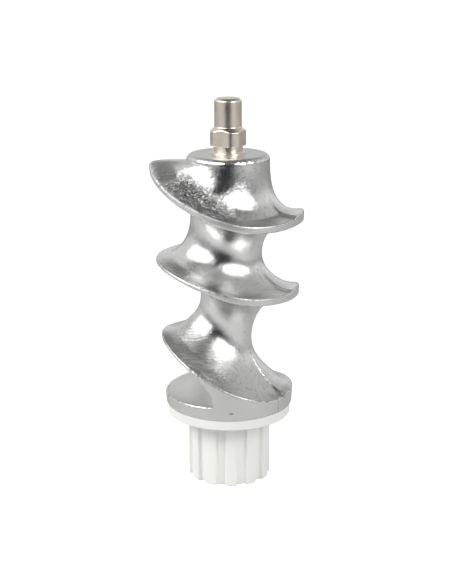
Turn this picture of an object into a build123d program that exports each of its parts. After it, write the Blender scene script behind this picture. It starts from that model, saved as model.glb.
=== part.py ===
from build123d import *
import math
import os

# Meat grinder auger, in mm. It stands on its drive end: z = 0 is the coupling's end face, +Z points to
# the knife pin, and -Y is the front.

# Drive coupling
SPLINE_LENGTH = 20.2
SPLINE_TIP_RADIUS = 12.4
SPLINE_ROOT_RADIUS = 11.2
SPLINE_TEETH = 12
GROOVE_WIDTH = 3.0
FRONT_TOOTH_TURN = 3.0
SPLINE_LEAD_IN = 0.5
FLANGE_THICKNESS = 3.1
FLANGE_RADIUS = 18.5
FLANGE_ROUND = 0.5

# Screw: foot disc, tapered outside and boss
DISC_RADIUS = 19.0
SCREW_LENGTH = 75.8
SCREW_TAPER = 3.2
SHOULDER_DROP = 2.0
SHOULDER_ROUND = 1.6
BOSS_RADIUS = 12.2
BOSS_ROUND = 1.6
BOSS_ALLOWANCE = 0.4
DISC_ROUND = 0.8

# Screw: heights of the flight's upper edge over the disc's underside, at each quarter turn from the
# left, by way of front, right and back
FLIGHT_EDGE = (74.2, 60.0, 58.9, 48.2, 45.2, 38.7, 36.5, 23.6, 21.9, 9.1, 5.3, 4.7, 3.8, 4.3)
FLIGHT_SWING_TOP = 0.5
FLIGHT_SWING_FOOT = 1.7
SWING_END = 9.5
LAND_FRONT = 2.2
LAND_BACK = 3.8
LAND_LEFT_TRIM = 1.5
TRIM_START = 2.5
FLIGHT_START = -0.1
CHANNEL_END = 12.8
RUN_OUT = 1.0
RUN_OUT_DEPTH = 0.25
END_ROUND = 0.5
END_HEIGHT = 0.4

# Screw: channel between the flight's turns
CORE_FOOT_RADIUS = 4.2
CORE_TAPER = 6.7
CHANNEL_DEEPEST = 0.46
FLANK_FULLNESS_TOP = 0.85
FLANK_FULLNESS_FOOT = 0.12
UNDERSIDE_FULLNESS = 0.68
CUTTER_OVERHANG = 1.5
OVERLAP = 0.4
OVERLAP_LIFT = 0.4
SECTION_STEP = 1 / 3
LOFT_SPAN = 1.6

# Screw: drive stub in the coupling, and bore for the spindle
STUB_ACROSS_FLATS = 13.0
STUB_LENGTH = 16.0
STUB_CHAMFER = 0.8
STUB_CLEARANCE = 0.1
SHANK_LENGTH = 18.0
SHANK_CLEARANCE = 0.03

# Knife spindle
PIN_RADIUS = 4.0
PIN_LENGTH = 8.3
PIN_CHAMFER = 0.7
DRIVE_ROUND_RADIUS = 5.3
DRIVE_ACROSS_FLATS = 9.4
DRIVE_LENGTH = 4.2
DRIVE_CONE = 1.2
DRIVE_TURN = -24.0
NECK_RADIUS = 4.25
NECK_LENGTH = 1.9
COLLAR_RADIUS = 5.0
COLLAR_THICKNESS = 0.5

# Places worked out from the sizes above
first_groove = FRONT_TOOTH_TURN - 90 + 180 / SPLINE_TEETH
disc_bottom = SPLINE_LENGTH + FLANGE_THICKNESS
screw_top = disc_bottom + SCREW_LENGTH
shoulder_top = screw_top - SHOULDER_DROP
neck_bottom = screw_top + COLLAR_THICKNESS
drive_bottom = neck_bottom + NECK_LENGTH
drive_top = drive_bottom + DRIVE_LENGTH
pin_bottom = drive_top + DRIVE_CONE
pin_top = pin_bottom + PIN_LENGTH
second_turn = FLIGHT_START + 4


def between(start, end, share):
    """Value a share of the way from start to end, held at the ends."""
    return start + (end - start) * min(max(share, 0.0), 1.0)


def outer_radius(z):
    """Radius of the screw's tapered outside at height z."""
    return DISC_RADIUS + (z - disc_bottom) * math.tan(math.radians(SCREW_TAPER))


def core_radius(z):
    """Radius of the screw's tapered core at height z, no larger than the boss."""
    radius = CORE_FOOT_RADIUS + (z - disc_bottom) * math.tan(math.radians(CORE_TAPER))
    return min(radius, BOSS_RADIUS)


def flight_edge(quarter):
    """Height of the flight's upper edge, on a smooth curve through the quarter-turn heights.

    A swing makes it steeper at the front and back, and flatter at the sides, where the mould parts.
    """
    last = len(FLIGHT_EDGE) - 1
    step = min(max(math.floor(quarter), 0), last - 1)
    t = quarter - step
    here, there = FLIGHT_EDGE[step], FLIGHT_EDGE[step + 1]
    before = FLIGHT_EDGE[step - 1] if step > 0 else 2 * here - there
    after = FLIGHT_EDGE[step + 2] if step + 2 <= last else 2 * there - here
    start_slope = (there - before) / 2
    end_slope = (after - here) / 2
    bend = 3 * (there - here) - 2 * start_slope - end_slope
    twist = start_slope + end_slope - 2 * (there - here)
    swing = between(FLIGHT_SWING_TOP, FLIGHT_SWING_FOOT, quarter / SWING_END)
    swing *= between(1.0, 0.0, quarter - SWING_END) * math.sin(math.pi * quarter)
    return disc_bottom + here + start_slope * t + bend * t**2 + twist * t**3 + swing


def flank_fullness(quarter):
    """How full the flight's upper flank is, from a square shelf at the top to a slope at the foot."""
    return between(FLANK_FULLNESS_TOP, FLANK_FULLNESS_FOOT, quarter / CHANNEL_END)


def flight_land(quarter):
    """Width of the flight's outer land: wide at the back, and trimmed at the left below the first turn."""
    turn = math.radians(90 * quarter)
    trim = between(0.0, LAND_LEFT_TRIM, quarter - TRIM_START) * max(math.cos(turn), 0.0)
    return between(LAND_FRONT, LAND_BACK, (1 - math.sin(turn)) / 2) - trim


def radial_plane(quarter):
    """Plane through the axis at a quarter-turn angle: its x runs outwards and its y upwards."""
    turn = math.radians(90 * (quarter - 1))
    outwards = (math.sin(turn), -math.cos(turn), 0)
    return Plane(origin=(0, 0, 0), x_dir=outwards, z_dir=(outwards[1], -outwards[0], 0))


def flank(corner, deepest, fullness):
    """Curve from a land's corner, where it runs radially, to the deepest point, where it runs axially."""
    radial = between(corner[0], deepest[0], fullness)
    axial = between(deepest[1], corner[1], fullness)
    Bezier(corner, (radial, corner[1]), (deepest[0], axial), deepest)


def boss_side(deepest, top):
    """Curve from the deepest point up the boss, running axially at both ends."""
    halfway = between(deepest[1], top[1], 0.5)
    Bezier(deepest, (deepest[0], halfway), (top[0], halfway), top)


def channel_roof(quarter):
    """Underside of the flight's turn above the channel, where the flight has begun."""
    return flight_edge(quarter - 4) - flight_land(quarter - 4)


def spoon(quarter, length, rest):
    """Share of its size that the channel keeps at its end, where it closes like a spoon to a rest."""
    share = between(0.0, 1.0, (quarter - CHANNEL_END) / length + 1)
    return between(rest, 1.0, math.sqrt(1 - share**2))


def cutter_corner(z):
    """Where a flank of the channel's cutter starts, clear of the screw's outside."""
    return (outer_radius(z) + CUTTER_OVERHANG, z)


def open_section(quarter):
    """Section of the first turn's channel, which is open at the screw's top."""
    lift = between(0.0, OVERLAP_LIFT, (quarter - second_turn) / OVERLAP + 1)
    low = flight_edge(quarter) + lift
    middle = low + CHANNEL_DEEPEST * (channel_roof(second_turn) - flight_edge(second_turn))
    high = max(middle, screw_top) + CUTTER_OVERHANG
    deepest = (core_radius(middle) + lift, middle)
    with BuildSketch(radial_plane(quarter)) as section:
        with BuildLine():
            flank(cutter_corner(low), deepest, flank_fullness(quarter))
            boss_side(deepest, (BOSS_RADIUS, high))
            Line((BOSS_RADIUS, high), cutter_corner(high))
            Line(cutter_corner(high), cutter_corner(low))
        make_face()
    return section.sketch


def closed_section(quarter):
    """Section of the channel between two turns of the flight."""
    lift = between(0.0, OVERLAP_LIFT, (second_turn - quarter) / OVERLAP)
    low = flight_edge(quarter) + lift
    high = between(low, channel_roof(quarter), spoon(quarter, END_ROUND, END_HEIGHT))
    middle = between(low, high, CHANNEL_DEEPEST)
    depth = spoon(quarter, RUN_OUT, RUN_OUT_DEPTH)
    floor = between(outer_radius(middle), core_radius(middle), depth)
    deepest = (floor + lift, middle)
    with BuildSketch(radial_plane(quarter)) as section:
        with BuildLine():
            flank(cutter_corner(low), deepest, flank_fullness(quarter))
            flank(cutter_corner(high), deepest, UNDERSIDE_FULLNESS)
            Line(cutter_corner(high), cutter_corner(low))
        make_face()
    return section.sketch


def steps(start, end, longest):
    """Quarter-turn places from start to end, evenly spaced and no further apart than the longest step."""
    count = math.ceil((end - start) / longest)
    return [start + (end - start) * i / count for i in range(count + 1)]


with BuildPart() as auger_screw:
    with BuildSketch(Plane.XZ):
        with BuildLine():
            Polyline(
                (0, disc_bottom),
                (DISC_RADIUS, disc_bottom),
                (outer_radius(shoulder_top), shoulder_top),
                (BOSS_RADIUS + BOSS_ALLOWANCE, shoulder_top),
                (BOSS_RADIUS + BOSS_ALLOWANCE, screw_top),
                (0, screw_top),
                close=True,
            )
        make_face()
    revolve(axis=Axis.Z)
    fillet(auger_screw.edges().filter_by(GeomType.CIRCLE).sort_by(Axis.Z)[-1], BOSS_ROUND)
    rim = auger_screw.edges().filter_by(GeomType.CIRCLE).sort_by(SortBy.RADIUS)[-1]
    fillet(rim, SHOULDER_ROUND)
    fillet(auger_screw.edges().filter_by(GeomType.CIRCLE).sort_by(Axis.Z)[0], DISC_ROUND)
    with BuildSketch(Plane.XY.offset(disc_bottom)):
        RegularPolygon(STUB_ACROSS_FLATS / 2, 6, major_radius=False)
    extrude(amount=-STUB_LENGTH)
    chamfer(auger_screw.faces().sort_by(Axis.Z)[0].edges(), STUB_CHAMFER)
    with Locations((0, 0, screw_top)):
        Hole(PIN_RADIUS + SHANK_CLEARANCE, depth=SHANK_LENGTH)

    # The channel above the first turn is open at the top, and then runs down between the turns.
    loft([open_section(q) for q in steps(FLIGHT_START, second_turn, SECTION_STEP)], mode=Mode.SUBTRACT)
    bounds = steps(second_turn - OVERLAP, CHANNEL_END, LOFT_SPAN)
    for start, end in zip(bounds, bounds[1:]):
        loft([closed_section(q) for q in steps(start, end, SECTION_STEP)], mode=Mode.SUBTRACT)

with BuildPart() as knife_spindle:
    with BuildSketch(Plane.XZ):
        with BuildLine():
            Polyline(
                (0, screw_top - SHANK_LENGTH),
                (PIN_RADIUS, screw_top - SHANK_LENGTH),
                (PIN_RADIUS, screw_top),
                (COLLAR_RADIUS, screw_top),
                (COLLAR_RADIUS, neck_bottom),
                (NECK_RADIUS, neck_bottom),
                (NECK_RADIUS, drive_bottom),
                (DRIVE_ROUND_RADIUS, drive_bottom),
                (DRIVE_ROUND_RADIUS, drive_top),
                (PIN_RADIUS, pin_bottom),
                (PIN_RADIUS, pin_top - PIN_CHAMFER),
                (PIN_RADIUS - PIN_CHAMFER, pin_top),
                (0, pin_top),
                close=True,
            )
        make_face()
    revolve(axis=Axis.Z)
    # Four flats milled on the round bar
    with BuildSketch(Plane.XY.offset(drive_bottom)):
        Circle(DRIVE_ROUND_RADIUS + CUTTER_OVERHANG)
        Rectangle(DRIVE_ACROSS_FLATS, DRIVE_ACROSS_FLATS, rotation=DRIVE_TURN, mode=Mode.SUBTRACT)
    extrude(amount=pin_bottom - drive_bottom, mode=Mode.SUBTRACT)

with BuildPart() as drive_coupling:
    with BuildSketch():
        Circle(SPLINE_TIP_RADIUS)
        with PolarLocations(SPLINE_ROOT_RADIUS, SPLINE_TEETH, start_angle=first_groove):
            Rectangle(
                SPLINE_TIP_RADIUS, GROOVE_WIDTH, align=(Align.MIN, Align.CENTER), mode=Mode.SUBTRACT
            )
    extrude(amount=SPLINE_LENGTH)
    tips = drive_coupling.faces().sort_by(Axis.Z)[0].edges().filter_by(GeomType.CIRCLE)
    chamfer(tips, SPLINE_LEAD_IN)
    with BuildSketch(Plane.XY.offset(SPLINE_LENGTH)):
        Circle(FLANGE_RADIUS)
    extrude(amount=FLANGE_THICKNESS)
    flange_edges = drive_coupling.edges().filter_by(GeomType.CIRCLE).sort_by(SortBy.RADIUS)[-2:]
    fillet(flange_edges, FLANGE_ROUND)
    with BuildSketch(Plane.XY.offset(disc_bottom)):
        RegularPolygon(STUB_ACROSS_FLATS / 2 + STUB_CLEARANCE, 6, major_radius=False)
    extrude(amount=-STUB_LENGTH - STUB_CLEARANCE, mode=Mode.SUBTRACT)

os.makedirs("parts", exist_ok=True)
auger_screw.part.label = "auger_screw"
export_step(auger_screw.part, "parts/auger_screw.step")
knife_spindle.part.label = "knife_spindle"
export_step(knife_spindle.part, "parts/knife_spindle.step")
drive_coupling.part.label = "drive_coupling"
export_step(drive_coupling.part, "parts/drive_coupling.step")
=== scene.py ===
"""Meat grinder auger: surfaces, materials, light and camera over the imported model.

The shape functions work in mm, with the angle counted in quarter turns: 0 is left, 1 front, 2 right and
3 back, and it goes on counting down the flight's turns.
"""

import math

import bpy
import numpy as np
from mathutils import Matrix


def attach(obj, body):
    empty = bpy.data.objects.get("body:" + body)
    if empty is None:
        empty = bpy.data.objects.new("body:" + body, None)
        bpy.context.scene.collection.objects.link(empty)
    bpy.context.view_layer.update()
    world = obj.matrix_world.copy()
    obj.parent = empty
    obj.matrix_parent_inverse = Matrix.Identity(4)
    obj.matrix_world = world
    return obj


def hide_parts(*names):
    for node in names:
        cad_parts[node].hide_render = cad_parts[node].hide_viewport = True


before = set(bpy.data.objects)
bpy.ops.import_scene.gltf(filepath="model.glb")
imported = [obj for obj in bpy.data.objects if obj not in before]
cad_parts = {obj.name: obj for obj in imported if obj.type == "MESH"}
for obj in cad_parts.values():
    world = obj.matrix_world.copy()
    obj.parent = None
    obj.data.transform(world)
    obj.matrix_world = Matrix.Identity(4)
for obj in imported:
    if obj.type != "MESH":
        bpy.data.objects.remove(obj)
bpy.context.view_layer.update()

MM = 0.001

# Screw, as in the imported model
DISC_BOTTOM = 23.3
DISC_RADIUS = 19.0
DISC_ROUND = 0.8
SCREW_TOP = 99.1
SHOULDER_TOP = 97.1
SCREW_TAPER = 3.2
BOSS_RADIUS = 12.2
BOSS_ROUND = 1.6
CORE_FOOT_RADIUS = 4.2
CORE_TAPER = 6.7
CHANNEL_DEEPEST = 0.46
FLIGHT_EDGE = (74.2, 60.0, 58.9, 48.2, 45.2, 38.7, 36.5, 23.6, 21.9, 9.1, 5.3, 4.7, 3.8, 4.3)
FLIGHT_SWING_TOP = 0.5
FLIGHT_SWING_FOOT = 1.7
SWING_END = 9.5
LAND_FRONT = 2.2
LAND_BACK = 3.8
LAND_LEFT_TRIM = 1.5
TRIM_START = 2.5
FLANK_FULLNESS_TOP = 0.85
FLANK_FULLNESS_FOOT = 0.12
UNDERSIDE_FULLNESS = 0.68
FLIGHT_START = -0.1
SECOND_TURN = FLIGHT_START + 4
FULLNESS_END = 12.8

# Screw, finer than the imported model
CHANNEL_END = 12.85
EAR_GROWTH = 0.12
BOWL_SOFTENING = 0.15
EDGE_ROUND_FRONT = 0.55
EDGE_ROUND_LEFT = 1.0
EDGE_ROUND_SHARE = 0.45
SPOON_LENGTH = 0.32
SPOON_POWER = 3
SPOON_DEPTH_LENGTH = 1.0
SPOON_DEPTH_POWER = 2
PARTING_TURN = 1.68
PARTING_STEP = 0.5
PARTING_FADE = 1.2
ROWS_PER_QUARTER = 60
EAR_ROUND_START = 0.15
EAR_ROUND_FADE = 0.35
EAR_ROUND_DROP = 0.35
EAR_ROUND_REACH = 2.2
EAR_ROUND_CLEAR = 0.5
EAR_MIDDLE_DROP = 0.12
BOWL_PLACE = 0.7
BOWL_SPREAD = 0.5
LEAST_ROUND = 0.01
LEAST_FLANK = 0.011
SHOULDER_SOFTNESS = 0.8
LAND_BELOW_SHOULDER = 0.2
COLLAR_OVERLAP = 0.3
FOOT_CENTRE_RADIUS = 0.5

# Points along a section of the screw, and the columns and rounds of its easing
LAND_POINTS = 4
EDGE_POINTS = 6
FLANK_POINTS = 26
RISE_POINTS = 16
TOP_POINTS = 10
FACE_POINTS = 5
RIM_POINTS = 8
RIM_ROUND_POINTS = 5
FOOT_POINTS = 4
EDGE_FADE = np.linspace(0.9, 0.2, EDGE_POINTS)
TOP_FADE = np.linspace(0.1, 1.0, TOP_POINTS)
CHANNEL_EASE = (18, 56, 40)
BOSS_EASE = (18, 48, 30)

# Finish of the screw, and where shade is painted on the crust and on the brush streaks: places in quarter
# turns and in columns of the section
SKIN_START = 0.22
SKIN_RISE = 0.25
SKIN_END = 0.78
SKIN_FALL = 0.4
SKIN_COLUMN = 19
SKIN_COLUMN_FADE = 8
SKIN_LEAST = 0.12
SATIN_SHARE = 0.75
EAR_SATIN_END = 0.1
EAR_SATIN_FADE = 0.3
CHANNEL_SATIN_START = 11.4
CHANNEL_SATIN_RISE = 0.6
BRUSHED_START = 7.9
BRUSHED_RISE = 0.5
BRUSHED_END = 8.75
BRUSHED_FALL = 0.4
BRUSHED_LEAST = 0.15
BRUSHED_COLUMN = 24
BRUSHED_COLUMN_FADE = 10

# Marks on the foot's rim, the pit's painted shade and the parting line, in metres and degrees
PIT_PLACE = (0.0006, -0.0191, 0.0258)
PIT_FLATNESS = (1.0, 1.0, 4.0)
PIT_EDGE = (0.0004, 0.0009)
PARTING_RIM_TURN = 50.0
PARTING_RIM_EDGE = (0.0001, 0.0003)
RIM_RADIUS = (0.017, 0.018)
RIM_HEIGHT = (0.027, 0.0275)

# Spindle and coupling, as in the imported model
COLLAR_RADIUS = 5.0
NECK_BOTTOM = 99.6
NECK_RADIUS = 4.25
DRIVE_BOTTOM = 101.5
DRIVE_TOP = 105.7
DRIVE_ROUND_RADIUS = 5.3
DRIVE_ACROSS_FLATS = 9.4
DRIVE_TURN = -24.0
PIN_BOTTOM = 106.9
PIN_RADIUS = 4.0
PIN_TOP = 115.2
PIN_CHAMFER = 0.7
SPLINE_LENGTH = 20.2
SPLINE_TIP_RADIUS = 12.4
SPLINE_ROOT_RADIUS = 11.2
SPLINE_TEETH = 12
GROOVE_WIDTH = 3.0
FRONT_TOOTH_TURN = 3.0
SPLINE_LEAD_IN = 0.5
FLANGE_RADIUS = 18.5
FLANGE_ROUND = 0.5

# Spindle and coupling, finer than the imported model
AXIS_RADIUS = 0.01
SPINDLE_OVERLAP = 0.2
FLAT_SOFTNESS = 0.3
FLAT_MARGIN_LOW = 0.3
FLAT_MARGIN_HIGH = 0.1
GROOVE_WALL_TURN = 0.03
SPLINE_CORNER = 0.4
TEETH_MARGIN_IN = 1.0
TEETH_MARGIN_OUT = 0.5
SPINDLE_ROWS = 241
SPINDLE_ROUND_POINTS = 6
SPINDLE_STEP = 0.15
COUPLING_ROWS = 961
COUPLING_ROUND_POINTS = 7
COUPLING_STEP = 1.5

# Colours of the aluminium's finishes, some of them painted shade, and the middle range of a noise
POLISHED_DARK = (0.74, 0.74, 0.735, 1.0)
POLISHED_LIGHT = (0.84, 0.84, 0.83, 1.0)
SPECK = (0.42, 0.42, 0.41, 1.0)
# Brush streaks, darkened as painted shade
BRUSH_MARK_AND_SHADE = (0.32, 0.32, 0.31, 1.0)
# Dark tone of the wrinkled crust: painted shade
FOLD_SHADE = (0.08, 0.08, 0.08, 1.0)
FOLD_LIGHT = (0.95, 0.95, 0.94, 1.0)
SATIN_DARK = (0.68, 0.68, 0.67, 1.0)
SATIN_LIGHT = (0.78, 0.78, 0.77, 1.0)
PARTING_GREY = (0.58, 0.58, 0.57, 1.0)
# Painted shade of the pit, also the colour of the darker specks along the edges
PIT_SHADE_AND_EDGE_SPECK = (0.10, 0.10, 0.10, 1.0)
MIDDLE = (0.3, 0.7)

# Light tent: greys that the metal sees, and the angles and heights between which its panels fade
TENT_FRONT = (0.04, 0.04, 0.045, 1.0)
TENT_SIDE = 0.62
TENT_BACK_LOW = 0.80
TENT_BACK_HIGH = 0.13
TENT_BACK_LEFT = 0.72
TENT_CORNER = 0.55
TENT_OVERHEAD = 0.65
TENT_TOP = 0.04
SIDE_ANGLES = (18, 30)
BACK_ANGLES = (70, 95)
GAP_HEIGHT = 0.04
GAP_FADE = (0.05, 0.12)
TOP_LEAN = 0.6
TOP_FADE_HEIGHT = (0.72, 0.92)
BACK_FADE = (0.35, 0.66)
BACK_LEFT_FADE = (-0.15, -0.45)
CORNER_FADE = (0.32, 0.5)
CORNER_HEIGHT = (0.42, 0.58)
OVERHEAD_FADE = (0.86, 0.96)
FLOOR_GLOW = 0.82

# Camera and lights, in metres, degrees, radians of roll and watts
CAMERA_PLACE = (-0.00078, -0.3874, 0.1652)
CAMERA_TILT = 15.56
CAMERA_ROLL = -0.0040
CAMERA_LENS = 83.1
LIGHT_TARGET = (0, 0, 0.06)
LEFT_LIGHT = {"place": (-0.42, -0.28, 0.46), "width": 0.70, "height": 0.28, "power": 3.2}
RIGHT_LIGHT = {"place": (0.36, -0.36, 0.36), "width": 0.28, "height": 0.28, "power": 1.5}


def between(start, end, share):
    """Value a share of the way from start to end, held at the ends."""
    return start + (end - start) * np.clip(share, 0.0, 1.0)


def soft_min(a, b, width):
    """Smaller of two values, with a smooth change from one to the other over a width."""
    share = np.clip(0.5 + 0.5 * (b - a) / width, 0.0, 1.0)
    return b + (a - b) * share - width * share * (1 - share)


def outer_radius(z):
    """Radius of the screw's tapered outside at height z."""
    return DISC_RADIUS + (z - DISC_BOTTOM) * math.tan(math.radians(SCREW_TAPER))


def core_radius(z):
    """Radius of the screw's tapered core at height z, no larger than the boss."""
    radius = CORE_FOOT_RADIUS + (z - DISC_BOTTOM) * math.tan(math.radians(CORE_TAPER))
    return np.minimum(radius, BOSS_RADIUS)


def flight_land(quarter):
    """Width of the flight's outer land: wide at the back, and trimmed at the left below the first turn."""
    turn = np.pi / 2 * quarter
    trim = between(0.0, LAND_LEFT_TRIM, quarter - TRIM_START) * np.maximum(np.cos(turn), 0.0)
    return between(LAND_FRONT, LAND_BACK, (1 - np.sin(turn)) / 2) - trim


def parting_step(quarter):
    """Extra height of the flight behind the mould's parting line at the right, fading towards the back."""
    turn = np.mod(quarter, 4)
    behind = turn > PARTING_TURN
    fade = between(1.0, 0.0, (turn - PARTING_TURN) / PARTING_FADE)
    return PARTING_STEP * behind * fade


def flight_edge(quarter):
    """Height of the flight's upper edge: a smooth cubic through the quarter-turn heights, and a swing."""
    heights = np.array(FLIGHT_EDGE)
    before_first = 2 * heights[0] - heights[1]
    after_last = 2 * heights[-1] - heights[-2]
    padded = np.concatenate([[before_first], heights, [after_last]])
    step = np.clip(np.floor(quarter), 0, len(heights) - 2).astype(int)
    t = quarter - step
    before, here, there, after = (padded[step + i] for i in range(4))
    start_slope = (there - before) / 2
    end_slope = (after - here) / 2
    bend = 3 * (there - here) - 2 * start_slope - end_slope
    twist = start_slope + end_slope - 2 * (there - here)
    swing = between(FLIGHT_SWING_TOP, FLIGHT_SWING_FOOT, quarter / SWING_END)
    swing = swing * between(1.0, 0.0, quarter - SWING_END) * np.sin(np.pi * quarter)
    return DISC_BOTTOM + here + start_slope * t + bend * t**2 + twist * t**3 + swing


def upper_edge(quarter):
    """Height of the flight's upper edge with the parting line's step."""
    return flight_edge(quarter) + parting_step(quarter)


def lower_edge(quarter):
    """Height of the flight's lower edge."""
    return flight_edge(quarter) - flight_land(quarter)


def ear_share(quarter):
    """Share of the ear's wide rounding that is left, from the flight's start on."""
    return between(1.0, 0.0, (quarter - EAR_ROUND_START) / EAR_ROUND_FADE)


def land_middle(quarter):
    """Middle of the flight's land, where two strips of the surface meet; lower at the ear."""
    drop = flight_land(quarter) * (0.5 + EAR_MIDDLE_DROP * ear_share(quarter))
    highest = SHOULDER_TOP - LAND_BELOW_SHOULDER
    z = soft_min(flight_edge(quarter) - drop, highest, SHOULDER_SOFTNESS / 2)
    return point(flight_radius(quarter, z), z)


def flight_radius(quarter, z):
    """Outer radius of the flight, which grows out of the boss at its start in a rounded ear."""
    share = np.clip((quarter - FLIGHT_START) / EAR_GROWTH, 0.0, 1.0)
    grown = np.sqrt(1 - (1 - share) ** 2)
    return BOSS_RADIUS + (outer_radius(z) - BOSS_RADIUS) * grown


def edge_round(quarter):
    """Rounding of the flight's edges: crisp at the front and right, softer at the left."""
    rounding = between(EDGE_ROUND_FRONT, EDGE_ROUND_LEFT, np.cos(np.pi / 2 * quarter))
    return np.minimum(rounding, EDGE_ROUND_SHARE * flight_land(quarter))


def flank_fullness(quarter):
    """How full the flight's upper flank is, from a square shelf at the top to a slope at the foot."""
    bowl = BOWL_SOFTENING * np.exp(-(((quarter - BOWL_PLACE) / BOWL_SPREAD) ** 2))
    return between(FLANK_FULLNESS_TOP, FLANK_FULLNESS_FOOT, quarter / FULLNESS_END) - bowl


def spoon(quarter, length, power):
    """Share of the channel's size kept towards its end: an ellipse at power 2, and blunter above."""
    share = np.clip((quarter - CHANNEL_END) / length + 1, 0.0, 1.0)
    return (1 - share**power) ** (1 / power)


def point(r, z):
    """Radius and height, for each row, in one array."""
    r, z = np.broadcast_arrays(r, z)
    return np.stack([r, z], axis=-1)


def line(start, end, count):
    """Evenly spaced points from start to end, without the last, for each row."""
    share = np.linspace(0, 1, count, endpoint=False)[None, :, None]
    return start[:, None] * (1 - share) + end[:, None] * share


def quarter_round(start, corner, end, count):
    """Quarter of an ellipse from start to end that the corner's two sides touch, without the last point."""
    angle = np.linspace(0, np.pi / 2, count, endpoint=False)[None, :, None]
    centre = start + end - corner
    from_start = (start - centre)[:, None] * np.cos(angle)
    to_end = (end - centre)[:, None] * np.sin(angle)
    return centre[:, None] + from_start + to_end


def bezier(a, b, c, d, count):
    """Cubic curve from a to d with the handles b and c, without the last point, for each row."""
    t = np.linspace(0, 1, count, endpoint=False)[None, :, None]
    a, b, c, d = (p[:, None] for p in (a, b, c, d))
    return (1 - t) ** 3 * a + 3 * (1 - t) ** 2 * t * b + 3 * (1 - t) * t**2 * c + t**3 * d


def flank(corner, deepest, fullness, count):
    """Curve from a land's corner, running radially there, to the deepest point, running axially there."""
    radial = point(between(corner[:, 0], deepest[:, 0], fullness), corner[:, 1])
    axial = point(deepest[:, 0], between(deepest[:, 1], corner[:, 1], fullness))
    return bezier(corner, radial, axial, deepest, count)


def swept(quarter, sections):
    """Points in space from a row of sections, each turned to its quarter about the axis."""
    angle = (np.pi / 2 * (quarter - 1))[:, None]
    r, z = sections[..., 0], sections[..., 1]
    return np.stack([r * np.sin(angle), -r * np.cos(angle), z], axis=-1)


def eased(path, first, last, rounds):
    """Sections whose columns from first to last move to the mean of themselves and their neighbours."""
    path = path.copy()
    for _ in range(rounds):
        sides = path[:, first - 1 : last - 1] + path[:, first + 1 : last + 1]
        path[:, first:last] = path[:, first:last] / 2 + sides / 4
    return path


def upper_side(quarter, middle, floor, size):
    """Path from the land's middle round the upper edge, and down the flank to the channel's floor."""
    edge = upper_edge(quarter)
    r = flight_radius(quarter, edge)
    small = np.minimum(edge_round(quarter) * size + LEAST_ROUND, EDGE_ROUND_LEFT)
    start = np.minimum(edge, SHOULDER_TOP) - small - EAR_ROUND_DROP * ear_share(quarter)
    widest = np.maximum(r - BOSS_RADIUS - EAR_ROUND_CLEAR, small)
    reach = np.minimum(small + EAR_ROUND_REACH * ear_share(quarter), widest)
    corner = point(r, edge)
    below = point(flight_radius(quarter, start), start)
    inside = point(r - reach, edge)
    deepest = point(floor, middle)
    land = line(land_middle(quarter), below, LAND_POINTS)
    edge_path = quarter_round(below, corner, inside, EDGE_POINTS)
    flank_path = flank(inside, deepest, flank_fullness(quarter), FLANK_POINTS)
    return [land, edge_path, flank_path]


def closed_strip(quarter):
    """Channel between two turns: land, upper flank, floor, underside of the next turn, its land."""
    size = spoon(quarter, SPOON_LENGTH, SPOON_POWER)
    low = upper_edge(quarter)
    high = low + (lower_edge(quarter - 4) - low) * size
    middle = between(low, high, CHANNEL_DEEPEST)
    depth = spoon(quarter, SPOON_DEPTH_LENGTH, SPOON_DEPTH_POWER)
    floor = outer_radius(middle) + (core_radius(middle) - outer_radius(middle)) * depth
    r = flight_radius(quarter - 4, high)
    rounding = edge_round(quarter - 4) * size + LEAST_ROUND
    small = np.minimum(rounding, np.maximum(r - floor, LEAST_FLANK))
    inside = point(r - small, high)
    corner = point(r, high)
    above = point(flight_radius(quarter - 4, high + small), high + small)
    roof = flank(inside, point(floor, middle), UNDERSIDE_FULLNESS, FLANK_POINTS)[:, ::-1]
    edge_path = quarter_round(inside, corner, above, EDGE_POINTS)
    end = land_middle(quarter - 4)
    land = line(above, end, LAND_POINTS)
    path = upper_side(quarter, middle, floor, size)
    path += [point(floor, middle)[:, None], roof, edge_path, land, end[:, None]]
    sections = eased(np.concatenate(path, axis=1), *CHANNEL_EASE)
    channel = np.zeros(2 * FLANK_POINTS + 1)
    turned = [np.ones(LAND_POINTS), EDGE_FADE, channel, EDGE_FADE[::-1], np.ones(LAND_POINTS + 1)]
    return swept(quarter, sections), np.concatenate(turned)


def open_strip(quarter):
    """First turn: land, upper flank, boss side, and the boss's rounded top to the spindle's collar."""
    depth = CHANNEL_DEEPEST * (lower_edge(np.array(FLIGHT_START)) - flight_edge(np.array(SECOND_TURN)))
    middle = upper_edge(quarter) + depth
    floor = core_radius(middle)
    side = np.concatenate(upper_side(quarter, middle, floor, 1.0), axis=1)
    side[..., 1] = soft_min(side[..., 1], SHOULDER_TOP, SHOULDER_SOFTNESS)
    ones = np.ones_like(quarter)
    foot = point(floor, soft_min(middle, SHOULDER_TOP, SHOULDER_SOFTNESS))
    halfway = (foot[:, 1] + SHOULDER_TOP) / 2
    neck = point(BOSS_RADIUS * ones, SCREW_TOP - BOSS_ROUND)
    handle = point(BOSS_RADIUS * ones, halfway)
    rise = bezier(foot, point(floor, halfway), handle, neck, RISE_POINTS)
    edge = point((BOSS_RADIUS - BOSS_ROUND) * ones, SCREW_TOP)
    top = quarter_round(neck, point(BOSS_RADIUS * ones, SCREW_TOP), edge, TOP_POINTS)
    centre = point((NECK_RADIUS - COLLAR_OVERLAP) * ones, SCREW_TOP)
    face = line(edge, centre, FACE_POINTS)
    path = [side, rise, top, face, centre[:, None]]
    sections = eased(np.concatenate(path, axis=1), *BOSS_EASE)
    channel = np.zeros(FLANK_POINTS + RISE_POINTS)
    turned = [np.ones(LAND_POINTS), EDGE_FADE, channel, TOP_FADE, np.ones(FACE_POINTS + 1)]
    return swept(quarter, sections), np.concatenate(turned)


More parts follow.
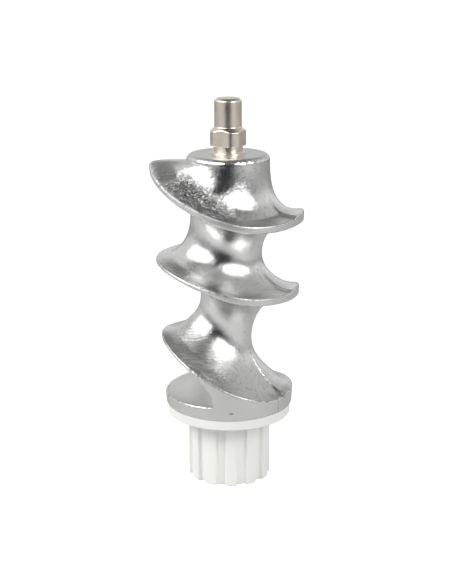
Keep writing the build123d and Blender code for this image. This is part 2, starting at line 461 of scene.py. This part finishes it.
def rim_strip(quarter):
    """Foot: the last turn's land run down to the disc's rounded lower edge, and the disc's underside."""
    ones = np.ones_like(quarter)
    low = point(outer_radius(DISC_BOTTOM + DISC_ROUND) * ones, DISC_BOTTOM + DISC_ROUND)
    under = point((DISC_RADIUS - DISC_ROUND) * ones, DISC_BOTTOM)
    corner = point(DISC_RADIUS * ones, DISC_BOTTOM)
    centre = point(FOOT_CENTRE_RADIUS * ones, DISC_BOTTOM)
    rim = line(land_middle(quarter), low, RIM_POINTS)
    rounding = quarter_round(low, corner, under, RIM_ROUND_POINTS)
    underside = line(under, centre, FOOT_POINTS)
    sections = np.concatenate([rim, rounding, underside, centre[:, None]], axis=1)
    return swept(quarter, sections), np.ones(sections.shape[1])


def grid_faces(rows, columns, first):
    """Corner numbers of a grid's four-sided faces."""
    corner = first + np.arange(rows - 1)[:, None] * columns + np.arange(columns - 1)[None, :]
    faces = np.stack([corner, corner + 1, corner + columns + 1, corner + columns], axis=-1)
    return faces.reshape(-1, 4)


def mesh_object(name, grids, fields, node):
    """Object made of point grids in mm, with named values for their points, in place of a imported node."""
    points = np.concatenate([g.reshape(-1, 3) for g in grids]) * MM
    firsts = np.cumsum([0] + [g.shape[0] * g.shape[1] for g in grids])
    faces = np.concatenate([grid_faces(g.shape[0], g.shape[1], f) for g, f in zip(grids, firsts)])
    mesh = bpy.data.meshes.new(name)
    mesh.from_pydata(points.tolist(), [], faces.tolist())
    for field, parts in fields.items():
        values = np.concatenate([np.broadcast_to(v, g.shape[:2]).ravel() for g, v in zip(grids, parts)])
        layer = mesh.attributes.new(field, "FLOAT", "POINT")
        layer.data.foreach_set("value", values.astype(np.float32))
    mesh.update()
    mesh.shade_smooth()
    piece = bpy.data.objects.new(name, mesh)
    bpy.context.scene.collection.objects.link(piece)
    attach(piece, "root")
    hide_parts(node)
    return piece


def quarter_rows(start, end):
    """Places along the flight from start to end, in quarter turns."""
    count = round((end - start) * ROWS_PER_QUARTER)
    return np.linspace(start, end, count + 1)


def skin_and_shade(quarter, turned):
    """How rough the as-cast crust is, and where its dark tone is painted as shade: most on the outer part of
    the first turn's left flank.
    """
    rise = between(0.0, 1.0, (quarter - SKIN_START) / SKIN_RISE)
    fall = between(1.0, 0.0, (quarter - SKIN_END) / SKIN_FALL)
    along = np.arange(len(turned))[None, :]
    outer = between(1.0, 0.0, (along - SKIN_COLUMN) / SKIN_COLUMN_FADE)
    return np.maximum((rise * fall)[:, None] * outer, SKIN_LEAST) * (1 - turned)[None, :]


def satin(quarter, turned):
    """How satin the metal is: the turned lands, the ear's start and the channel's end."""
    ear = between(1.0, 0.0, (quarter - EAR_SATIN_END) / EAR_SATIN_FADE)
    channel_end = between(0.0, 1.0, (quarter - CHANNEL_SATIN_START) / CHANNEL_SATIN_RISE)
    return np.maximum(SATIN_SHARE * np.maximum(ear, channel_end)[:, None], turned[None, :])


def brushing_and_shade(quarter, turned):
    """How strongly the metal is brush-streaked, and where those streaks are darkened as painted shade: most
    on the outer part of the third turn's left flank, little after it.
    """
    rise = between(0.0, 1.0, (quarter - BRUSHED_START) / BRUSHED_RISE)
    fall = between(1.0, BRUSHED_LEAST, (quarter - BRUSHED_END) / BRUSHED_FALL)
    along = np.arange(len(turned))[None, :]
    outer = between(1.0, 0.0, (along - BRUSHED_COLUMN) / BRUSHED_COLUMN_FADE)
    return (rise * fall)[:, None] * outer * (1 - turned)[None, :]


def make_screw():
    """The screw: open first turn, channel between the turns, and foot."""
    rows = [
        quarter_rows(FLIGHT_START, SECOND_TURN),
        quarter_rows(SECOND_TURN, CHANNEL_END),
        quarter_rows(CHANNEL_END - 4, CHANNEL_END),
    ]
    strips = [make(q) for make, q in zip((open_strip, closed_strip, rim_strip), rows)]
    grids = [s[0] for s in strips]
    fields = {
        "turned": [satin(q, s[1]) for q, s in zip(rows, strips)],
        "skin_and_shade": [skin_and_shade(q, s[1]) for q, s in zip(rows, strips)],
        "brushed_and_shade": [brushing_and_shade(q, s[1]) for q, s in zip(rows, strips)],
        "edge": [4 * s[1] * (1 - s[1]) for s in strips],
    }
    return mesh_object("auger_screw_surface", grids, fields, "auger_screw")


def rounded_profile(corners, rounds, count, step):
    """Profile through corner points, each inner corner rounded, with points no further apart than a step."""
    corners = np.array(corners, dtype=float)
    path = [corners[:1]]
    for before, corner, after, radius in zip(corners, corners[1:], corners[2:], rounds):
        start = corner + (before - corner) / np.linalg.norm(before - corner) * radius
        end = corner + (after - corner) / np.linalg.norm(after - corner) * radius
        t = np.linspace(0, 1, count)[:, None]
        path.append((1 - t) ** 2 * start + 2 * (1 - t) * t * corner + t**2 * end)
    path = np.concatenate(path + [corners[-1:]])
    along = np.concatenate([[0.0], np.cumsum(np.linalg.norm(np.diff(path, axis=0), axis=1))])
    places = np.union1d(along, np.arange(0.0, along[-1], step))
    return np.stack([np.interp(places, along, path[:, 0]), np.interp(places, along, path[:, 1])], axis=-1)


def make_spindle():
    """The knife spindle: a turned profile whose drive part is limited by four flats."""
    corners = [
        (COLLAR_RADIUS, SCREW_TOP - SPINDLE_OVERLAP),
        (COLLAR_RADIUS, NECK_BOTTOM),
        (NECK_RADIUS, NECK_BOTTOM),
        (NECK_RADIUS, DRIVE_BOTTOM),
        (DRIVE_ROUND_RADIUS, DRIVE_BOTTOM),
        (DRIVE_ROUND_RADIUS, DRIVE_TOP),
        (PIN_RADIUS, PIN_BOTTOM),
        (PIN_RADIUS, PIN_TOP - PIN_CHAMFER),
        (PIN_RADIUS - PIN_CHAMFER, PIN_TOP),
        (AXIS_RADIUS, PIN_TOP),
    ]
    rounds = (0.15, 0.1, 0.15, 0.2, 0.2, 0.25, 0.3, 0.6, 0.45)
    profile = rounded_profile(corners, rounds, SPINDLE_ROUND_POINTS, SPINDLE_STEP)
    angle = np.linspace(0, 2 * np.pi, SPINDLE_ROWS)[:, None]
    r = np.broadcast_to(profile[None, :, 0], (len(angle), len(profile)))
    z = np.broadcast_to(profile[None, :, 1], r.shape)
    aside = angle - math.radians(DRIVE_TURN)
    flat = DRIVE_ACROSS_FLATS / 2 / np.maximum(np.abs(np.cos(aside)), np.abs(np.sin(aside)))
    square = (z > DRIVE_BOTTOM - FLAT_MARGIN_LOW) & (z < PIN_BOTTOM - FLAT_MARGIN_HIGH)
    r = np.where(square, soft_min(r, flat, FLAT_SOFTNESS), r)
    grid = np.stack([r * np.cos(angle), r * np.sin(angle), z], axis=-1)
    return mesh_object("knife_spindle_surface", [grid], {}, "knife_spindle")


def make_coupling():
    """The splined coupling: teeth with rounded corners all round, and the flange on top of them."""
    angle = np.linspace(0, 2 * np.pi, COUPLING_ROWS)[:, None]
    turned = SPLINE_TEETH * (angle + np.pi / 2 - math.radians(FRONT_TOOTH_TURN))
    from_tooth = np.abs(np.mod(turned + np.pi, 2 * np.pi) - np.pi) / SPLINE_TEETH
    wall = np.pi / SPLINE_TEETH - GROOVE_WIDTH / 2 / SPLINE_TIP_RADIUS
    share = np.clip((from_tooth - wall) / GROOVE_WALL_TURN + 0.5, 0.0, 1.0)
    groove = share * share * (3 - 2 * share)
    profile = rounded_profile(
        [
            (AXIS_RADIUS, 0.0),
            (SPLINE_TIP_RADIUS, 0.0),
            (SPLINE_TIP_RADIUS, SPLINE_LENGTH),
            (FLANGE_RADIUS, SPLINE_LENGTH),
            (FLANGE_RADIUS, DISC_BOTTOM),
            (AXIS_RADIUS, DISC_BOTTOM),
        ],
        (SPLINE_LEAD_IN, SPLINE_CORNER, FLANGE_ROUND, FLANGE_ROUND),
        COUPLING_ROUND_POINTS,
        COUPLING_STEP,
    )
    r = np.broadcast_to(profile[None, :, 0], (len(angle), len(profile)))
    z = np.broadcast_to(profile[None, :, 1], r.shape)
    depth = (SPLINE_TIP_RADIUS - SPLINE_ROOT_RADIUS) * groove
    on_side = (z < SPLINE_LENGTH) & (r > SPLINE_TIP_RADIUS - TEETH_MARGIN_IN)
    under_flange = (z == SPLINE_LENGTH) & (r < SPLINE_TIP_RADIUS + TEETH_MARGIN_OUT)
    r = np.where(on_side | under_flange, r - depth, r)
    grid = np.stack([r * np.cos(angle), r * np.sin(angle), z], axis=-1)
    return mesh_object("drive_coupling_surface", [grid], {}, "drive_coupling")


def new_material(name):
    """Material with a Principled shader, and its tree and shader."""
    material = bpy.data.materials.new(name)
    material.use_nodes = True
    tree = material.node_tree
    return material, tree, tree.nodes["Principled BSDF"]


def add(tree, kind, settings=None, **inputs):
    """Node in a tree, with its settings and input values or links."""
    node = tree.nodes.new(kind)
    for name, value in (settings or {}).items():
        setattr(node, name, value)
    for name, value in inputs.items():
        numbered = name[0] == "i" and name[1:].isdigit()
        socket = node.inputs[int(name[1:])] if numbered else node.inputs[name]
        if isinstance(value, bpy.types.NodeSocket):
            tree.links.new(value, socket)
        else:
            socket.default_value = value
    return node


def ramp(tree, value, low, high, start=0.0, end=1.0):
    """Value mapped from low..high to start..end, held at the ends."""
    node = add(tree, "ShaderNodeMapRange", {"clamp": True}, i0=value, i1=low, i2=high, i3=start, i4=end)
    return node.outputs[0]


def maths(tree, operation, a, b=0.0):
    """Result of a maths node."""
    return add(tree, "ShaderNodeMath", {"operation": operation}, i0=a, i1=b).outputs[0]


def mixed(tree, share, a, b):
    """Colour mixed from a to b."""
    node = add(tree, "ShaderNodeMix", {"data_type": "RGBA"}, i0=share, i6=a, i7=b)
    return node.outputs[2]


def blended(tree, share, a, b):
    """Number mixed from a to b."""
    node = add(tree, "ShaderNodeMix", {"data_type": "FLOAT"}, i0=share, i2=a, i3=b)
    return node.outputs[0]


def vectors(tree, operation, a, b=(0.0, 0.0, 0.0)):
    """Vector maths node of one or two vectors."""
    return add(tree, "ShaderNodeVectorMath", {"operation": operation}, i0=a, i1=b)


def carried(tree, field):
    """Value that the points of the mesh carry under a field's name."""
    return add(tree, "ShaderNodeAttribute", {"attribute_name": field}).outputs["Fac"]


def grey(level):
    """Opaque grey of one level."""
    return (level, level, level, 1.0)


def noise(tree, place, scale, detail=3.0, roughness=0.5):
    """Noise value at a place, with the scale in cells per metre."""
    inputs = {"Vector": place, "Scale": scale, "Detail": detail, "Roughness": roughness}
    node = add(tree, "ShaderNodeTexNoise", None, **inputs)
    return node.outputs[0]


def bump(tree, height, strength, distance, normal=None):
    """Normal tilted by a height in metres."""
    inputs = {"Strength": strength, "Distance": distance, "Height": height}
    if normal is not None:
        inputs["Normal"] = normal
    return add(tree, "ShaderNodeBump", None, **inputs).outputs[0]


def casting_pit(tree, place):
    """Mask of the small flat pit low on the foot's rim, at the front, where its shade is painted."""
    offset = vectors(tree, "SUBTRACT", place, PIT_PLACE).outputs[0]
    flat = vectors(tree, "MULTIPLY", offset, PIT_FLATNESS).outputs[0]
    away = vectors(tree, "LENGTH", flat).outputs["Value"]
    return ramp(tree, away, *PIT_EDGE, 1.0, 0.0)


def parting_line(tree, place):
    """Mask of the mould's parting line across the foot's rim, to the right of the front."""
    turn = math.radians(PARTING_RIM_TURN)
    along = (math.cos(turn), math.sin(turn), 0.0)
    outward = (math.sin(turn), -math.cos(turn), 0.0)
    across = vectors(tree, "DOT_PRODUCT", place, along).outputs["Value"]
    out = vectors(tree, "DOT_PRODUCT", place, outward).outputs["Value"]
    height = add(tree, "ShaderNodeSeparateXYZ", None, i0=place).outputs[2]
    thin = ramp(tree, maths(tree, "ABSOLUTE", across), *PARTING_RIM_EDGE, 1.0, 0.0)
    outside = ramp(tree, out, *RIM_RADIUS)
    low = ramp(tree, height, *RIM_HEIGHT, 1.0, 0.0)
    return maths(tree, "MULTIPLY", thin, maths(tree, "MULTIPLY", outside, low))


def aluminium():
    """Cast aluminium: bright in the channel, satin on the lands, rough and wrinkled on the first turn's
    crust with its dark tone painted as shade, brush-streaked on the third turn and darkened there as painted
    shade, with bumps and darker specks at the edges, and with the painted shade of a pit on the foot.
    """
    material, tree, shader = new_material("cast aluminium")
    place = add(tree, "ShaderNodeTexCoord").outputs["Object"]
    turned = carried(tree, "turned")
    rough_skin_and_shade = carried(tree, "skin_and_shade")
    brushed_and_shade = carried(tree, "brushed_and_shade")
    clouds = noise(tree, place, 120.0, 4.0)
    grain = noise(tree, place, 2200.0, 3.0, 0.6)
    drawn_out = add(tree, "ShaderNodeMapping", None, i0=place, i2=(0.0, 0.0, 0.9), i3=(0.45, 1.0, 0.7))
    wrinkles = noise(tree, drawn_out.outputs[0], 2000.0, 3.0, 0.65)
    folds = maths(tree, "ABSOLUTE", maths(tree, "SUBTRACT", wrinkles, 0.5))
    long_cells = add(tree, "ShaderNodeMapping", None, i0=place, i2=(0.0, 0.6, 0.5), i3=(0.15, 1.0, 1.0))
    streaks = noise(tree, long_cells.outputs[0], 1500.0, 3.0)
    shader.inputs["Metallic"].default_value = 1.0
    clean = mixed(tree, clouds, POLISHED_DARK, POLISHED_LIGHT)
    specks = ramp(tree, noise(tree, place, 1000.0, 3.0, 0.6), 0.54, 0.68, 0.0, 0.4)
    bright = mixed(tree, specks, clean, SPECK)
    # Brush streaks on the third turn, their dark tone painted shade
    brush_marks_and_shade = maths(tree, "MULTIPLY", brushed_and_shade, ramp(tree, streaks, *MIDDLE, 0.4, 1.0))
    brush_marked_and_shaded = mixed(tree, brush_marks_and_shade, bright, BRUSH_MARK_AND_SHADE)
    # Crust on the first turn: a real wrinkle pattern whose dark tone is painted shade
    crust_and_shade = mixed(tree, ramp(tree, folds, 0.02, 0.11), FOLD_SHADE, FOLD_LIGHT)
    cast = mixed(tree, ramp(tree, rough_skin_and_shade, 0.15, 0.75, 0.0, 0.9), brush_marked_and_shaded, crust_and_shade)
    smooth = mixed(tree, grain, SATIN_DARK, SATIN_LIGHT)
    lined = mixed(tree, parting_line(tree, place), smooth, PARTING_GREY)
    metal = mixed(tree, turned, cast, lined)
    edge = carried(tree, "edge")
    chips = noise(tree, place, 1300.0, 2.0)
    # Darker specks along the edges, and the painted shade of the pit
    edge_specks = maths(tree, "MULTIPLY", edge, ramp(tree, chips, 0.52, 0.66))
    pit = maths(tree, "MAXIMUM", casting_pit(tree, place), maths(tree, "MULTIPLY", edge_specks, 0.7))
    tree.links.new(mixed(tree, pit, metal, PIT_SHADE_AND_EDGE_SPECK), shader.inputs["Base Color"])
    polished_rough = ramp(tree, clouds, *MIDDLE, 0.12, 0.20)
    brushed_rough = ramp(tree, streaks, *MIDDLE, 0.22, 0.36)
    turned_rough = ramp(tree, grain, *MIDDLE, 0.34, 0.46)
    channel_rough = blended(tree, brushed_and_shade, polished_rough, brushed_rough)
    rough = blended(tree, turned, channel_rough, turned_rough)
    tree.links.new(rough, shader.inputs["Roughness"])
    waves = bump(tree, noise(tree, place, 160.0, 2.0), 0.3, 0.0006)
    scratched = bump(tree, streaks, maths(tree, "MULTIPLY", brushed_and_shade, 0.22), 0.0003, waves)
    crackle = bump(tree, folds, rough_skin_and_shade, 0.0018, scratched)
    chipped = bump(tree, chips, maths(tree, "MULTIPLY", edge, 0.6), 0.0004, crackle)
    pits = bump(tree, grain, rough_skin_and_shade, 0.0004, chipped)
    tree.links.new(pits, shader.inputs["Normal"])
    return material


def nickel():
    """Plated steel with a warm tint, a little cloudy."""
    material, tree, shader = new_material("plated steel")
    place = add(tree, "ShaderNodeTexCoord").outputs["Object"]
    clouds = noise(tree, place, 400.0, 3.0)
    grain = noise(tree, place, 1500.0, 2.0)
    shader.inputs["Metallic"].default_value = 1.0
    tint = mixed(tree, clouds, (0.77, 0.70, 0.60, 1.0), (0.87, 0.80, 0.70, 1.0))
    tree.links.new(tint, shader.inputs["Base Color"])
    tree.links.new(ramp(tree, clouds, *MIDDLE, 0.27, 0.37), shader.inputs["Roughness"])
    tree.links.new(bump(tree, grain, 0.10, 0.0001), shader.inputs["Normal"])
    return material


def plastic():
    """White moulded plastic, a little uneven."""
    material, tree, shader = new_material("white plastic")
    place = add(tree, "ShaderNodeTexCoord").outputs["Object"]
    clouds = noise(tree, place, 90.0, 3.0)
    fine = noise(tree, place, 1800.0, 2.0)
    tint = mixed(tree, clouds, (0.91, 0.91, 0.88, 1.0), (0.95, 0.95, 0.92, 1.0))
    tree.links.new(tint, shader.inputs["Base Color"])
    tree.links.new(ramp(tree, clouds, *MIDDLE, 0.38, 0.5), shader.inputs["Roughness"])
    tree.links.new(bump(tree, fine, 0.06, 0.0001), shader.inputs["Normal"])
    return material


def floor_material():
    """Pale studio floor that the camera sees burnt out to white, as on a lit table."""
    material, tree, shader = new_material("studio floor")
    place = add(tree, "ShaderNodeTexCoord").outputs["Object"]
    tint = mixed(tree, noise(tree, place, 3.0), grey(0.68), grey(0.72))
    tree.links.new(tint, shader.inputs["Base Color"])
    shader.inputs["Roughness"].default_value = 0.8
    shader.inputs["Emission Color"].default_value = grey(1.0)
    seen = add(tree, "ShaderNodeLightPath").outputs["Is Camera Ray"]
    tree.links.new(maths(tree, "MULTIPLY", seen, FLOOR_GLOW), shader.inputs["Emission Strength"])
    return material


def make_floor():
    """Wide table under the part, with its front edge in front of the picture."""
    size = 6.0
    front = -0.22
    mesh = bpy.data.meshes.new("floor")
    corners = [(-size, front, 0), (size, front, 0), (size, size, 0), (-size, size, 0)]
    mesh.from_pydata(corners, [], [(0, 1, 2, 3)])
    floor = bpy.data.objects.new("floor", mesh)
    bpy.context.scene.collection.objects.link(floor)
    floor.data.materials.append(floor_material())


def make_world():
    """Light tent, white to the camera; to the metal, bright sides and back, and a dark front and top."""
    world = bpy.data.worlds.new("studio")
    bpy.context.scene.world = world
    world.use_nodes = True
    tree = world.node_tree
    direction = add(tree, "ShaderNodeTexCoord").outputs["Generated"]
    axis = add(tree, "ShaderNodeSeparateXYZ", None, i0=direction)
    forward = maths(tree, "MULTIPLY", axis.outputs[1], -1.0)
    aside = maths(tree, "ABSOLUTE", maths(tree, "ARCTAN2", axis.outputs[0], forward))
    beside = ramp(tree, aside, *map(math.radians, SIDE_ANGLES))
    from_gap = maths(tree, "ABSOLUTE", maths(tree, "SUBTRACT", axis.outputs[2], GAP_HEIGHT))
    panel = maths(tree, "MULTIPLY", beside, ramp(tree, from_gap, *GAP_FADE))
    behind = ramp(tree, aside, *map(math.radians, BACK_ANGLES))
    lean = maths(tree, "MULTIPLY", forward, TOP_LEAN)
    top = ramp(tree, maths(tree, "ADD", axis.outputs[2], lean), *TOP_FADE_HEIGHT)
    high = ramp(tree, axis.outputs[2], *BACK_FADE)
    back_right = mixed(tree, high, grey(TENT_BACK_LOW), grey(TENT_BACK_HIGH))
    back_left = ramp(tree, axis.outputs[0], *BACK_LEFT_FADE)
    aside_right = ramp(tree, axis.outputs[0], *CORNER_FADE)
    back_corner = maths(tree, "MULTIPLY", aside_right, ramp(tree, axis.outputs[2], *CORNER_HEIGHT))
    low_back = mixed(tree, back_left, back_right, grey(TENT_BACK_LEFT))
    corner_back = mixed(tree, back_corner, low_back, grey(TENT_CORNER))
    overhead = ramp(tree, axis.outputs[2], *OVERHEAD_FADE)
    back = mixed(tree, overhead, corner_back, grey(TENT_OVERHEAD))
    front = mixed(tree, panel, TENT_FRONT, grey(TENT_SIDE))
    walls = mixed(tree, behind, front, back)
    room = mixed(tree, top, walls, grey(TENT_TOP))
    seen = add(tree, "ShaderNodeLightPath").outputs["Is Camera Ray"]
    background = tree.nodes["Background"]
    tree.links.new(mixed(tree, seen, room, grey(1.0)), background.inputs["Color"])
    background.inputs["Strength"].default_value = 1.0


def soft_light(name, place, width, height, power):
    """Softbox: a rectangular light at a place, turned to the part."""
    data = bpy.data.lights.new(name, "AREA")
    data.shape = "RECTANGLE"
    data.size = width
    data.size_y = height
    data.energy = power
    light = bpy.data.objects.new(name, data)
    bpy.context.scene.collection.objects.link(light)
    light.location = place
    aim = np.array(LIGHT_TARGET) - np.array(place)
    yaw = math.atan2(aim[0], -aim[1])
    pitch = math.atan2(np.hypot(aim[0], aim[1]), -aim[2])
    light.rotation_euler = (pitch, 0.0, yaw + math.pi)


def make_camera():
    """Camera at the photo's angle: in front, looking down a little, with the photo's slight roll."""
    data = bpy.data.cameras.new("camera")
    data.sensor_fit = "VERTICAL"
    data.sensor_height = 36.0
    data.lens = CAMERA_LENS
    data.clip_start = 0.01
    camera = bpy.data.objects.new("camera", data)
    bpy.context.scene.collection.objects.link(camera)
    tilt = Matrix.Rotation(math.radians(90 - CAMERA_TILT), 4, "X")
    roll = Matrix.Rotation(CAMERA_ROLL, 4, "Z")
    camera.matrix_world = Matrix.Translation(CAMERA_PLACE) @ tilt @ roll
    bpy.context.scene.camera = camera


make_screw().data.materials.append(aluminium())
make_spindle().data.materials.append(nickel())
make_coupling().data.materials.append(plastic())
make_floor()
make_world()
soft_light("left softbox", **LEFT_LIGHT)
soft_light("right softbox", **RIGHT_LIGHT)
make_camera()
bpy.context.scene.view_settings.view_transform = "Standard"
